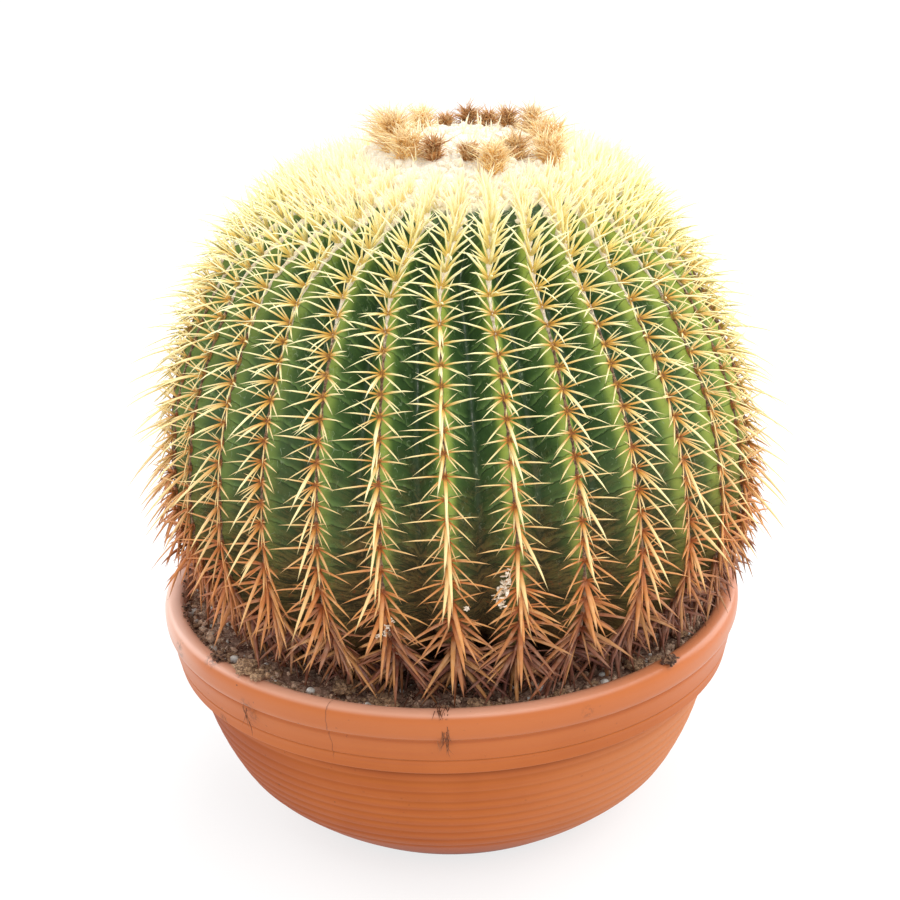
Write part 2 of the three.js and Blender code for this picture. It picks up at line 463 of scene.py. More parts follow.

# The band is warmer. Painted shade darkens the foot, the strip under the ledge and the grooves.
clay.paint(clay_up.step(104, 150) * 0.6, rgb(196, 106, 42))
clay.paint(clay_up.fall(2, 60) * 0.75, rgb(134, 50, 14))
clay.paint(clay_up.step(100.5, 105.5) * clay_up.fall(107.5, 109.5) * 0.6, rgb(104, 42, 14))
groove_shade = sum(abs(clay_up - height).fall(0.2, 2.0) for height in GROOVES)
clay.paint(groove_shade * 0.14, rgb(120, 50, 18))
# Painted shade, darkest where the foot meets the floor.
clay.paint(clay_up.fall(2, 9) * 0.95, rgb(66, 18, 6))
# Painted shade on the left of the body below the ledge, and painted light on its right.
below_ledge = clay_up.fall(90, 112)
clay.paint(clay_x.fall(-190, -40) * below_ledge * 0.8, rgb(140, 58, 16))
clay.paint(clay_x.step(0, 160) * below_ledge * 0.6, rgb(208, 136, 90))

# The rim has a painted reflection on the left, painted light inside, and a painted highlight along
# its top.
clay.paint(clay_x.fall(-208, -155) * clay_up.step(134, 152) * 0.85, rgb(238, 196, 176))
clay.paint(clay_ring.fall(189, 195) * clay_up.step(145, 150) * 0.4, rgb(214, 138, 92))
rim_top_highlight = clay_up.step(152.5, 155.5) * (1 - clay_x.step(20, 140) * 0.75)
clay.paint(rim_top_highlight * 0.62, rgb(238, 186, 162))
specks = clay.cells(9).fall(0.06, 0.12) * grit.step(0.45, 0.55)
clay.paint(specks * (0.25 + clay_x.fall(-160, -20) * 0.6), rgb(104, 58, 36))

# A hairline crack runs over the rim and down the band, in a plane through the bowl's axis.
CRACK = math.radians(-23.3)
crack_away = clay_x * math.cos(CRACK) + clay_y * math.sin(CRACK) + (clay.noise(9, 3) - 0.5) * 5
crack = abs(crack_away).fall(0.1, 0.4) * clay_up.step(112, 124) * clay_y.fall(-100, -90)
clay.paint(crack * 0.45, rgb(112, 54, 30))

# Hard water leaves a pale crust inside the rim, down to the soil.
crust = clay_ring.fall(186, 188.5) * clay_up.step(142, 147) * clay.noise(5, 4, 0.7).step(0.4, 0.58)
clay.paint(crust * 0.7, rgb(222, 196, 180))

MUD = rgb(74, 46, 32)
MUD_SPOTS = [  # ring, angle and height of the middle, size and share
    (191, -52.7, 155, 11, 0.7), (198, -41.4, 139, 8, 0.4), (197, -40.6, 130, 6, 0.3),
    (199, -65, 146, 9, 0.6), (192, -51.4, 112, 7, 0.6),
    (186, -67, 108, 10, 0.6), (199, 24, 146, 6, 0.3),
]
for ring, degrees, height, size, share in MUD_SPOTS:
    spot = polar(ring, math.radians(degrees), height) * MM
    away = clay.add(
        "ShaderNodeVectorMath", {"operation": "DISTANCE"}, {0: clay.at, 1: spot}, output="Value"
    )
    patch = (away * 1000).fall(size * 0.3, size) * clay.noise(2.6, 4, 0.75).step(0.46, 0.56)
    clay.paint(patch * share, MUD)
clay.feed(clay.shader.inputs["Coat Weight"], clay_up.step(104, 150) * 0.7)
clay_relief = turning * 0.5 + grit * 0.35 + clouds * 0.6 - crack
clay_material = clay.done(0.42 + grit * 0.1 + clouds * 0.1, clay_relief, 0.3)
print("nodes in the clay's finish:", len(clay.nodes))

# %% The bowl's piece
add_piece("bowl", spun(pot_line, BOWL_STEPS), clay_material, ["pot"])

# %% [markdown]
# ## Soil
# Potting soil is peat with bark, fibre and white perlite. The surface is a spun disc whose
# rings are pushed up and down by noise. The loose crumbs, fibres and grains that make it read as
# soil are many small solids strewn on top, because a bump alone stays flat at the bowl's edge.

# %% Soil surface
SOIL_TOP = box_mm("soil")[1].z
SOIL_STEPS = 330
SOIL_RINGS, RING_GAP = 44, 1.6


def soil_height(point):
    """The soil's height at a point: lumps of three sizes, a little lower against the rim."""
    far = math.hypot(point.x, point.y)
    lumps = 3.2 * noise.noise(point / 26) + 2.2 * noise.noise(point / 9)
    lumps += 1.3 * noise.noise(point / 3.4)
    return SOIL_TOP + lumps - 1.0 - 1.5 * smooth(176, 185, far)


soil_line = [(0, 12), (110, 12), (136, 33), (151, 56), (164, 81), (173, 101), (181, 119),
             (184.2, 142)]
soil_line += [(184.6 - RING_GAP * k, SOIL_TOP) for k in range(SOIL_RINGS)]
soil_bm = spun(soil_line + [(40, SOIL_TOP), (0, SOIL_TOP)], SOIL_STEPS)
for vertex in soil_bm.verts:
    if vertex.co.z > SOIL_TOP - 1:
        vertex.co.z = soil_height(Vector((vertex.co.x, vertex.co.y, 0)))

# %% Soil finish
peat = Finish("potting soil", Roughness=1.0, IOR=1.3)
coarse = peat.noise(7, 6, 0.7)
fine = peat.noise(1.6, 4, 0.7)
peat.colour = peat.mix(coarse.step(0.35, 0.7), rgb(104, 74, 62), rgb(206, 168, 146))
peat.paint(fine.step(0.5, 0.68) * 0.8, rgb(232, 206, 178))
peat_material = peat.done(None, coarse + fine * 0.5, 1.6)
add_piece("soil_surface", soil_bm, peat_material, ["soil"])


# %% Templates for small things
def template(make, **sizes):
    """A small closed mesh made once by a bmesh operator, to be copied many times."""
    bm = bmesh.new()
    make(bm, **sizes)
    bmesh.ops.recalc_face_normals(bm, faces=bm.faces)
    mesh = bpy.data.meshes.new("template")
    bm.to_mesh(mesh)
    bm.free()
    return mesh


def spike(bm, sides, rings):
    """A spike of unit length along +Z. Its rings are equally wide; each copy has its own taper."""
    bmesh.ops.create_cone(
        bm, cap_ends=True, cap_tris=False, segments=sides, radius1=1, radius2=0, depth=1
    )
    bmesh.ops.translate(bm, vec=Vector((0, 0, 0.5)), verts=bm.verts)
    for k in range(1, rings):
        bmesh.ops.bisect_plane(
            bm, geom=bm.verts[:] + bm.edges[:] + bm.faces[:], plane_co=(0, 0, k / rings),
            plane_no=(0, 0, 1),
        )
    for vertex in bm.verts:
        if vertex.co.z < 0.999:
            vertex.co.xy /= 1 - vertex.co.z


def pebble(bm, detail):
    """A rough round lump of unit radius."""
    bmesh.ops.create_icosphere(bm, subdivisions=detail, radius=1)
    for vertex in bm.verts:
        vertex.co *= 1 + 0.35 * noise.noise(vertex.co * 1.7 + Vector((3, 1, 2)))


THIN = template(spike, sides=4, rings=3)
STOUT = template(spike, sides=5, rings=4)
HAIR = template(spike, sides=3, rings=3)
CRUMB = template(pebble, detail=1)
GRAIN = template(pebble, detail=2)


def add_copy(bm, model):
    """Adds a copy of a model, and returns its vertices."""
    first = len(bm.verts)
    bm.from_mesh(model)
    bm.verts.ensure_lookup_table()
    return bm.verts[first:]


def strew(bm, model, at, size, turn=None):
    """Adds a copy of a model, scaled along its own axes, turned, and put at a point."""
    if turn is None:
        angle = spread(math.pi)
        turn = Matrix.Rotation(angle, 4, Vector((spread(1), spread(1), 1)).normalized())
    move = Matrix.Translation(at) @ turn @ Matrix.Diagonal((*size, 1))
    bmesh.ops.transform(bm, matrix=move, verts=add_copy(bm, model))


TAPER = 2.8  # a spine keeps its width for long and then narrows quickly to its tip


class Thicket:
    """A bmesh that grows spines and hairs, with what their finish needs to know of each."""

    def __init__(self):
        self.bm = bmesh.new()
        self.along, self.age, self.chance = (
            self.bm.verts.layers.float.new(name) for name in ("along", "age", "chance")
        )

    def grow(self, model, root, tip_way, length, width, bend, age, flat=1.0):
        """A spine from a root. tip_way is its first direction, and bend pulls its tip aside."""
        side = tip_way.cross(bend)
        if side.length < 1e-6:
            side = tip_way.orthogonal()
        side.normalize()
        lift = side.cross(tip_way).normalized()
        chance = dice.random()
        for vertex in add_copy(self.bm, model):
            x, y, t = vertex.co
            wide = 0.5 * width * (1 - t ** TAPER) if t < 0.999 else 0.0
            vertex.co = (
                root + (tip_way + bend * t) * (length * t)
                + side * (x * wide) + lift * (y * wide * flat)
            )
            vertex[self.along] = t
            vertex[self.age] = age
            vertex[self.chance] = chance


# %% [markdown]
# ## Crumbs, fibres and perlite
# Crumbs are copies of a rough pebble of twenty faces. They lie thickest against the rim, where
# watering washes them. Mud and one clod of bark have been pushed up onto the rim, and fine roots
# have been washed over it in front and on the left.

# %% Crumbs and fibres
def on_soil(ring, degrees, lift=0.0):
    """A point on the soil's surface."""
    point = polar(ring, math.radians(degrees), 0)
    return Vector((point.x, point.y, soil_height(point) + lift))


def crumb_size(low, high):
    """Random half-lengths of a crumb along its three axes. Most crumbs are near the low end."""
    size = low + (high - low) * dice.random() ** 3
    return (size * dice.uniform(0.8, 1.5), size, size * dice.uniform(0.6, 0.9))


OPEN_SOIL, BY_THE_WALL = (118, 184), (172, 185)
CRUMBS, FLAKES, FIBRES = 3600, 70, 900
CLOD, CLOD_LUMPS = (192, -39.8, 157.5), 26  # ring, angle and height of the clod on the rim

crumbs = bmesh.new()
for _ in range(CRUMBS):
    ring = dice.uniform(*OPEN_SOIL) if dice.random() < 0.6 else dice.uniform(*BY_THE_WALL)
    strew(crumbs, CRUMB, on_soil(ring, spread(180), 0.3), crumb_size(0.5, 3.4))

crumb = Finish("crumbs", Roughness=1.0)
patches = crumb.noise(5, 4, 0.7)
crumb.colour = crumb.mix(patches.step(0.46, 0.58), rgb(120, 84, 70), rgb(242, 206, 178))
crumb.paint(crumb.noise(1.2).step(0.5, 0.7) * 0.5, rgb(238, 208, 172))
crumb.paint(crumb.ring().step(160, 180) * patches.step(0.3, 0.6) * 0.6, rgb(246, 218, 188))
crumb_material = crumb.done(None, crumb.noise(1.0), 0.4)
add_piece("soil_crumbs", crumbs, crumb_material, soft=False)

flakes = bmesh.new()
FLAKE_SPOTS = [(spread(180), dice.uniform(150, 183)) for _ in range(FLAKES)]
FLAKE_SPOTS += [(-62 + 5.5 * k + spread(2), 178 + spread(6)) for k in range(22)]
for degrees, ring in FLAKE_SPOTS:
    size = dice.uniform(1.6, 4.2)
    lie = Matrix.Rotation(spread(math.pi), 4, "Z") @ Matrix.Rotation(spread(0.5), 4, "X")
    strew(flakes, GRAIN, on_soil(ring, degrees, 1.2), (size * 1.5, size, size * 0.35), lie)
for _ in range(CLOD_LUMPS):
    turn = math.radians(CLOD[1]) + dice.gauss(0, 2.0) / CLOD[0]
    at = polar(CLOD[0] + dice.gauss(0, 2.2), turn, CLOD[2] + abs(dice.gauss(0, 1.8)))
    strew(flakes, GRAIN, at, crumb_size(0.9, 2.4))

# %% Mud on the rim
MUD_CRUMBS = 460
MUD_LOW, MUD_HIGH = 147, 156
RIM_CLUMPS = [  # ring, angle, height, crumbs and reach
    (190, -52, 156, 60, 6), (187, -2, 154, 20, 4), (196, 44, 156.5, 150, 5),
    (187, 24, 153.5, 16, 4), (187, -66, 154, 30, 6), (187, 12, 153, 12, 4),
    (189, -20, 154, 14, 5), (188, 65, 154, 12, 5), (186, -78, 154, 26, 8),
]
mud = bmesh.new()
for _ in range(MUD_CRUMBS):
    degrees = dice.gauss(-48, 30) if dice.random() < 0.7 else spread(180)
    height = dice.uniform(MUD_LOW, MUD_HIGH)
    ring = 185.2 + (height - MUD_LOW) * 0.35
    strew(mud, CRUMB, polar(ring, math.radians(degrees), height), crumb_size(0.4, 1.7))
for ring, degrees, height, count, reach in RIM_CLUMPS:
    for _ in range(count):
        turn = math.radians(degrees) + dice.gauss(0, 0.5) * reach / ring
        lift = min(abs(dice.gauss(0, 0.3)) * reach, 4) if height > 155 else 0
        at = polar(ring + dice.gauss(0, 0.35) * reach * (height > 152), turn, height + lift)
        strew(mud, CRUMB, at, crumb_size(0.5, 2.4))
dried = Finish("dried mud", Roughness=1.0)
dried.colour = dried.mix(dried.noise(2.0, 3).step(0.42, 0.62), rgb(78, 54, 44), rgb(150, 116, 90))
add_piece("mud_crumbs", mud, dried.done(), soft=False)

# %% Root fibres
RIM_STREAKS = [  # angle, spread, lowest and highest start, fibres
    (-2.3, 1.1, 137, 157, 30), (-41.6, 0.8, 134, 147, 8), (-40.8, 0.5, 128, 136, 4),
]
fibres = Thicket()
for _ in range(FIBRES):
    root = on_soil(dice.uniform(120, 184), spread(180), 0.6)
    heading = scatter(1, 1, 0.25).normalized()
    bend = scatter(0.5, 0.5, 0.2)
    fibres.grow(HAIR, root, heading, dice.uniform(4, 14), dice.uniform(0.4, 1.0), bend, 1.0)
for degrees, reach, low, high, count in RIM_STREAKS:
    for _ in range(count):
        start = dice.uniform(low, high)
        side = math.radians(degrees + spread(reach))
        root = polar(200.2 if start < 150 else 198.6 if start < 154 else 197, side, start)
        heading = polar(-0.03, side, -1) + scatter(0.3, 0, 0)
        fibres.grow(HAIR, root, heading.normalized(), dice.uniform(5, 15), 0.42,
                    polar(-0.04, side, 0) + scatter(0.5, 0, 0), 1.0)
for _ in range(16):
    root = polar(dice.uniform(184, 196), math.radians(-2.3 + spread(1.4)), 156.6)
    heading = Vector((spread(0.5), -1, spread(0.1))).normalized()
    length = dice.uniform(5, 11)
    fibres.grow(HAIR, root, heading, length, 0.6, Vector((spread(0.4), 0, -0.3)), 1.0)
fibre = Finish("root fibre", Roughness=0.95)
fibre.colour = fibre.mix(fibre.attribute("chance"), rgb(78, 38, 24), rgb(164, 108, 74))
add_piece("soil_fibres", fibres.bm, fibre.done())

# %% Perlite
SMALL_GRAINS = 230
GRAIN_SPOTS = [  # ring, angle and size of the grains that lie in plain sight
    (180, -62, 2.6), (182, -81, 3.4), (175, -18, 2.2), (165, 35, 2.0), (184, 70, 2.4),
    (179, -29.5, 2.0), (181, -28, 1.6), (181, -56, 2.4), (178, 33.5, 2.6),
]
chalk = Finish("perlite", Roughness=0.95)
chalk.colour = chalk.mix(chalk.noise(2.5).step(0.35, 0.65), rgb(214, 208, 198), rgb(250, 249, 245))
chalk_material = chalk.done(None, chalk.noise(0.8), 0.3)
for k in range(4):
    low, high = box_mm(f"perlite_{k + 1}")
    middle = (low + high) / 2 + Vector((0, 0, 0.6))
    grain = bmesh.new()
    strew(grain, GRAIN, middle, (high - low) / 2 * 0.98, Matrix.Rotation(k, 4, "Z"))
    add_piece(f"white_grain_{k + 1}", grain, chalk_material, [f"perlite_{k + 1}"])

grains = bmesh.new()
for ring, degrees, size in GRAIN_SPOTS:
    strew(grains, GRAIN, on_soil(ring, degrees, 1.0), (size * 1.2, size, size * 0.8))
for _ in range(SMALL_GRAINS):
    size = dice.uniform(0.5, 1.5)
    ring = dice.uniform(135, 184) if dice.random() < 0.5 else dice.uniform(172, 184.5)
    strew(grains, CRUMB, on_soil(ring, spread(180), 0.8), (size * 1.2, size, size * 0.8))
add_piece("small_grains", grains, chalk_material)

# %% [markdown]
# ## Bark
# Each chip of bark is one rough lump: an icosphere stretched to the chip's box and broken up by
# noise, with crumbs stuck to it. There are only seven, so they can have fine faces. The small
# flakes were strewn with the crumbs, and now get the same finish.

# %% Bark chips
STUCK_CRUMBS = 90
bark = Finish("bark", Roughness=0.95)
layers = bark.noise(2.2, 6, 0.75, at=bark.stretched(1, 1, 2))
bark.colour = bark.mix(layers.step(0.38, 0.6), rgb(112, 84, 66), rgb(200, 164, 128))
bark_material = bark.done(None, layers, 0.8)
add_piece("bark_flakes", flakes, bark_material, soft=False)
for k in range(7):
    low, high = box_mm(f"bark_chip_{k + 1}")
    chip = bmesh.new()
    bmesh.ops.create_icosphere(chip, subdivisions=3, radius=1)
    half, middle = (high - low) / 2, (high + low) / 2
    for vertex in chip.verts:
        way = vertex.co.copy()
        swell = 0.82 + 0.45 * noise.noise(way * 1.3 + Vector((k, 0, 0)))
        swell += 0.4 * abs(noise.noise(way * 3.1 + Vector((0, k, 0))))
        swell += 0.26 * noise.noise(way * 8 + Vector((0, 0, k)))
        swell += 0.12 * noise.noise(way * 19)
        vertex.co = middle + way * half * swell
    for _ in range(STUCK_CRUMBS):
        way = scatter(1, 1, 1).normalized()
        strew(chip, CRUMB, middle + way * half * 0.86, crumb_size(0.5, 2.2))
    add_piece(f"bark_{k + 1}", chip, bark_material, [f"bark_chip_{k + 1}"], soft=False)

# %% [markdown]
# ## The crest line
# Everything that grows sits on the ribs, so their crest line comes first. It is the same curve as
# the CAD stem's. Areoles, the felted cushions that carry the spines, are set out along it: close
# together by the crown where they are young, and further apart where the rib has grown.

# %% Crest line and areoles
RIBS = 30
RIB_STEP = FULL_TURN / RIBS
FIRST_RIB = math.radians(-2.7)
VALLEY_DEPTH = 23.0
CREST = [
    (0, 114), (62, 117), (104, 134), (140, 156), (172, 180), (189, 205), (195.5, 243),
    (189, 301), (172, 349), (146, 393), (109, 426), (78, 444), (42, 455), (0, 457),
]
crest_points = np.array(soft_curve(CREST, 1.0))
crest_lengths = np.concatenate(
    [[0], np.cumsum(np.linalg.norm(np.diff(crest_points, axis=0), axis=1))]
)


def axis_shift(height):
    """The plant leans: how far its axis stands to the side of the bowl's, at a height."""
    return 11 - 0.024 * (height - 150) + 13 * smooth(395, 448, height)


def crest_point(length):
    """Radius and height on the crest line, at a length from its base."""
    return [float(np.interp(length, crest_lengths, crest_points[:, k])) for k in (0, 1)]


def crest_at(length):
    """Radius, height and slope of the crest line, at a length from its base."""
    (radius, height), ahead, behind = (crest_point(length + step) for step in (0, 3, -3))
    slope = Vector((ahead[0] - behind[0], ahead[1] - behind[1])).normalized()
    return radius, height, slope


def on_rib(rib_angle, length, lift=0.0):
    """A point on a rib's crest, and its outward, upward and sideways directions."""
    radius, height, slope = crest_at(length)
    outward = polar(slope.y, rib_angle, -slope.x)
    upward = polar(slope.x, rib_angle, slope.y)
    point = polar(radius, rib_angle, height) + outward * lift
    point.x += axis_shift(height)
    return point, outward, upward, upward.cross(outward)


def length_near(point):
    """The length from the base to where the crest line comes nearest to a point."""
    gap = np.linalg.norm(crest_points - np.array(point), axis=1)
    return float(crest_lengths[int(np.argmin(gap))])


FOOT = length_near(CREST[3]) + 6
TOP = length_near(CREST[11]) + 13
# How far it is from one areole to the next, at these heights.
PITCH_HEIGHTS = (150, 185, 240, 340, 400, 432, 452)
PITCHES = (9.0, 11.0, 13.2, 12.7, 11.4, 9.2, 7.6)
areoles = []
for rib in range(RIBS):
    length = FOOT + dice.uniform(0, 9)
    row = []
    while length < TOP:
        row.append(length)
        pitch = float(np.interp(crest_point(length)[1], PITCH_HEIGHTS, PITCHES))
        length += pitch * dice.uniform(0.93, 1.07)
    areoles.append(row)
print("areoles:", sum(map(len, areoles)), "crest length, mm:", round(crest_lengths[-1]))

# %% [markdown]
# ## The stem
# The stem is one body: a turned shape pressed into thirty ribs. The outline is spun with sixteen
# steps to a rib, then every vertex is sunk square to the crest line by the rib's cross-section,
# so the valleys end in arches above the soil, as they do where the plant has settled. Each areole
# sits in a small notch, with a chin below it. The finish needs to know where on a rib it is, so
# every vertex keeps three numbers: across from the crest, along the areoles, and fade, which is 0
# where there are no ribs yet.

# %% Stem
STEM_STEPS = 16
STEM_RINGS = 150
CREST_SHARPNESS = 1.35  # above 1, the vertices crowd together at the crest
CREST_ROUNDING = 0.05
NOTCH_DEPTH = 1.5

buried = [Vector(p) for p in soft_curve(CREST[:4], 16)]
visible = [Vector(crest_point(s)) for s in np.linspace(FOOT - 6, crest_lengths[-1], STEM_RINGS)]
stem_line = buried[:-1] + visible[:-1] + [Vector((0, CREST[-1][1]))]
stem_lengths = [length_near(p) for p in stem_line]
stem_bm = spun(stem_line, RIBS * STEM_STEPS)
stem_mesh = bpy.data.meshes.new("stem")
stem_bm.to_mesh(stem_mesh)
stem_bm.free()

# Each vertex is found on the crest line, and gets its rib and its place across and along it.
count = len(stem_mesh.vertices)
co = np.zeros(count * 3)
stem_mesh.vertices.foreach_get("co", co)
co = co.reshape(-1, 3)
ring = np.hypot(co[:, 0], co[:, 1])
angle = np.arctan2(co[:, 0], -co[:, 1])
heights = np.array([p.y for p in stem_line])
radii = np.array([p.x for p in stem_line])
nearest = np.array([
    int(np.argmin((radii - r) ** 2 + (heights - z) ** 2)) for r, z in zip(ring, co[:, 2])
])
length = np.array(stem_lengths)[nearest]

turn = angle / RIB_STEP
rib_number = np.round(turn).astype(int) % RIBS
offset = turn - np.round(turn)
across = (2 * np.abs(offset)) ** CREST_SHARPNESS  # 0 on the crest and 1 in the valley
along = np.zeros(count)  # counts the areoles up the rib
for rib in range(RIBS):
    chosen = rib_number == rib
    row = np.array(areoles[rib])
    ends = np.concatenate([[row[0] - 90], row, [row[-1] + 60]])
    counts = np.arange(len(ends), dtype=float)
    counts[0] -= 7
    counts[-1] += 6
    along[chosen] = np.interp(length[chosen], ends, counts)


def cross_section(share):
    """How far a rib's side has sunk towards the valley, from 0 on the crest to 1."""
    return (share ** 2 + CREST_ROUNDING ** 2) ** 0.4 - CREST_ROUNDING ** 0.8


def soft_steps(low, high, values):
    """The same as smooth, for many values at once."""
    t = np.clip((values - low) / (high - low), 0, 1)
    return t * t * (3 - 2 * t)


# Then it is sunk square to the crest line, and the whole stem leans with its axis.
wander = np.array([noise.noise(Vector(p) / 45) for p in co])
fade = soft_steps(84, 124, ring) * soft_steps(FOOT - 60, FOOT - 12, length)
section = cross_section(across) / cross_section(1)
depth = VALLEY_DEPTH * fade * section * (1 + 0.12 * wander)
notch = (0.5 + 0.5 * np.cos(2 * np.pi * along)) * np.exp(-((across / 0.3) ** 2))
depth += NOTCH_DEPTH * notch * fade + 0.5 * wander
slopes = np.array([list(crest_at(s)[2]) for s in stem_lengths])[nearest]
new_ring = np.maximum(ring - depth * slopes[:, 1], 0)
new_height = co[:, 2] + depth * slopes[:, 0]
new_angle = (np.round(turn) + np.sign(offset) * across / 2) * RIB_STEP + FIRST_RIB
shift = np.array([axis_shift(z) for z in new_height])
moved = np.stack(
    [new_ring * np.sin(new_angle) + shift, -new_ring * np.cos(new_angle), new_height], axis=1
)
stem_mesh.vertices.foreach_set("co", moved.ravel())
for name, values in (("across", across), ("along", along), ("fade", fade)):
    layer = stem_mesh.attributes.new(name, "FLOAT", "POINT")
    layer.data.foreach_set("value", values.astype(np.float32))
stem_bm = bmesh.new()
stem_bm.from_mesh(stem_mesh)
bpy.data.meshes.remove(stem_mesh)

# %% [markdown]
# The skin is waxy and thins to yellow-green along the crests; painted shade darkens the valleys. A
# crease runs across each flank between two areoles, with painted shade in it and a painted
# highlight on the bulge beside it. Rubbing leaves pale scratches, and the oldest skin, near the
# soil, turns to brown cork with fibres that follow the rib.

# %% Green skin
skin = Finish("green skin", IOR=1.42)
skin_x, skin_up = skin.part("X"), skin.part("Z")
across_rib = skin.attribute("across")
down_rib = skin.attribute("along")
mottle = skin.noise(16, 4)
fine_mottle = skin.noise(3.0, 3)
scale = (down_rib + across_rib ** 1.4 * 0.85 + mottle * 0.7).fract()
on_flank = across_rib.fall(0.8, 1.0) * mottle.step(0.3, 0.46)
crease = scale.line(0.5, 0.05) * on_flank
scale_highlight = scale.step(0.5, 0.56) * scale.fall(0.56, 0.8) * on_flank

# The crests are yellow-green, and painted light makes them paler on the right side than on the
# left.
skin.colour = skin.mix(mottle.step(0.3, 0.7), rgb(52, 80, 42), rgb(74, 104, 54))
painted_light_right = skin_x.step(-150, 50)
skin.paint(across_rib.fall(0.06, 0.56) * (0.3 + painted_light_right * 0.45), rgb(106, 140, 58))
skin.paint(across_rib.fall(0.1, 0.36) * (0.2 + painted_light_right * 0.72), rgb(184, 206, 96))
# Painted highlight on each bulge, painted shade in the creases and in the valleys.
skin.paint(scale_highlight * 0.35, rgb(140, 176, 100))
skin.paint(crease * 0.4, rgb(38, 62, 32))
skin.paint(across_rib.step(0.6, 1.0) * 0.65, rgb(42, 68, 44))

# Pale scratches run down and across the flanks, and a dotted pale line runs down the valleys.
scratch = skin.noise(11, 2, 0.6, at=skin.stretched(1, 1, 0.6))
scratches = scratch.line(0.5, 0.014) * fine_mottle.step(0.46, 0.6)
skin.paint(scratches * 0.5, rgb(166, 186, 150))
valley_line = across_rib.step(0.965, 0.99) * skin.noise(40, 3).step(0.56, 0.66)
skin.paint(valley_line * fine_mottle.step(0.4, 0.6) * 0.5, rgb(196, 200, 196))

# Cork: fibres that sweep from the crest down to the valley, in brown, straw and rust.
sweep = skin.add(
    "ShaderNodeCombineXYZ",
    sockets={0: across_rib * 1.6 + mottle, 1: down_rib * 3.4 + across_rib * 5, 2: skin_up * 0.012},
)
fibre_run = skin.noise(1000, 5, 0.75, at=sweep)
corky = (skin_up + mottle * 70 - across_rib * 24).fall(232, 344)
straw = fibre_run.line(0.5, 0.018) * fine_mottle.step(0.42, 0.6)
flecks = fine_mottle.step(0.55, 0.7) * fibre_run.step(0.45, 0.6)
cork = skin.mix(fibre_run.step(0.4, 0.62), rgb(58, 46, 24), rgb(128, 104, 58))
cork = skin.mix(flecks * 0.8, cork, rgb(156, 88, 46))
cork = skin.mix(skin_up.fall(172, 212) * 0.6, cork, rgb(132, 82, 48))
cork = skin.mix(straw * 0.7, cork, rgb(190, 164, 112))
skin.paint(corky * 0.9, cork)
skin.paint((skin.attribute("fade") + fine_mottle * 0.12).fall(0.06, 0.13), rgb(250, 240, 212))
skin_relief = (
    fine_mottle * 0.25 + scale * on_flank * 0.9 - crease * 0.5
    + (fibre_run * 1.4 + straw * 0.4) * corky
)
skin_material = skin.done(0.4 + corky * 0.42 + mottle * 0.12, skin_relief, 0.9)
add_piece("green_stem", stem_bm, skin_material, ["stem"])

# %% [markdown]
# ## Spines
# A spine is a hardened, slightly flattened leaf. Every areole carries about ten: pairs to the
# sides, and stout centrals that point down and out. Particles or hair would be quick, but they
# don't survive an export, so each spine is a copy of a small spike that is bent and tapered. Each
# kind is described at five ages, from the crown down to the soil, and blended between them.

# %% The kinds of spine
# A spine's age follows from its height: 0 at the crown and 1 at the soil.
AGE_HEIGHTS = (158, 180, 205, 235, 275, 330, 385, 425, 450)
AGES = (1.0, 0.97, 0.89, 0.77, 0.62, 0.46, 0.3, 0.12, 0.0)
KIND_AGES = (0.0, 0.12, 0.25, 0.62, 1.0)


def kind(both_sides, clock, raised, length, width, bend, flat=1.0, loose=7.0):
    """A kind of spine. Each of clock, raised, length, width and bend is given at five ages."""
    return dict(both_sides=both_sides, clock=clock, raised=raised, length=length, width=width,
                bend=bend, flat=flat, loose=loose)


# Sizes are in millimetres and angles in degrees, each at the five ages of KIND_AGES.
# clock is the direction seen from outside: 0 up the rib, 90 to the side, 180 down the rib.
# raised is the angle from the rib's surface; past 90 a spine leans the other way.
KINDS = [
    kind(True, (22, 44, 78, 86, 92), (72, 60, 44, 30, 26), (15, 36, 34, 27, 34),
         (1.4, 1.8, 1.6, 1.3, 3.0), (0.05, 0.16, 0.14, 0.07, 0.24)),
    kind(True, (48, 70, 110, 126, 116), (68, 58, 42, 30, 26), (14, 34, 29, 22, 36),
         (1.4, 1.8, 1.4, 1.2, 3.1), (0.05, 0.16, 0.14, 0.08, 0.22)),
    kind(True, (8, 20, 48, 62, 76), (74, 62, 48, 32, 22), (15, 34, 21, 13, 24),
         (1.3, 1.6, 1.2, 0.9, 1.3), (0.04, 0.12, 0.08, 0.06, 0.18)),
    kind(True, (70, 90, 98, 148, 140), (70, 63, 52, 32, 24), (14, 31, 23, 15, 33),
         (1.3, 1.7, 1.1, 1.0, 2.4), (0.05, 0.16, 0.1, 0.08, 0.14), 0.8, 14.0),
    kind(False, (180, 180, 180, 180, 186), (104, 88, 78, 55, 32), (15, 37, 36, 36, 46),
         (1.6, 2.2, 2.1, 2.5, 3.9), (0.08, 0.26, 0.24, 0.2, 0.12), 0.5, 15.0),
    kind(False, (180, 176, 180, 182, 160), (94, 78, 64, 38, 28), (14, 34, 24, 18, 40),
         (1.4, 1.9, 1.6, 1.3, 3.5), (0.06, 0.24, 0.18, 0.1, 0.12), 0.7, 20.0),
    kind(False, (0, 0, 0, 0, 218), (88, 80, 66, 46, 26), (14, 33, 16, 10, 36),
         (1.3, 1.7, 1.2, 0.9, 2.3), (0.04, 0.18, 0.08, 0.05, 0.1), 0.8, 24.0),
]
print("kinds of spine:", len(KINDS))

BOX_SPARE = 12.0  # millimetres past the CAD box, under 3% of its width
SPINE_LIMITS = [(148, 184), (172, 193), (206, 213)]  # below a height, how far out a tip may be
SHORTEST = 7
STOUT_FROM = 2.1  # a spine this wide is cut finer
MISSING = 0.04  # the share of spines that have broken off


def at_age(values, age):
    return float(np.interp(age, KIND_AGES, values))


def in_box(point):
    """Whether a tip stays close to the CAD model's box, and over the soil where it is low."""
    far = math.hypot(point.x, point.y)
    for height, ring in SPINE_LIMITS:
        if point.z < height and far > ring:
            return False
    return all(
        low / MM - BOX_SPARE < value < high / MM + BOX_SPARE
        for low, value, high in zip(cad_box[0], point, cad_box[1])
    )


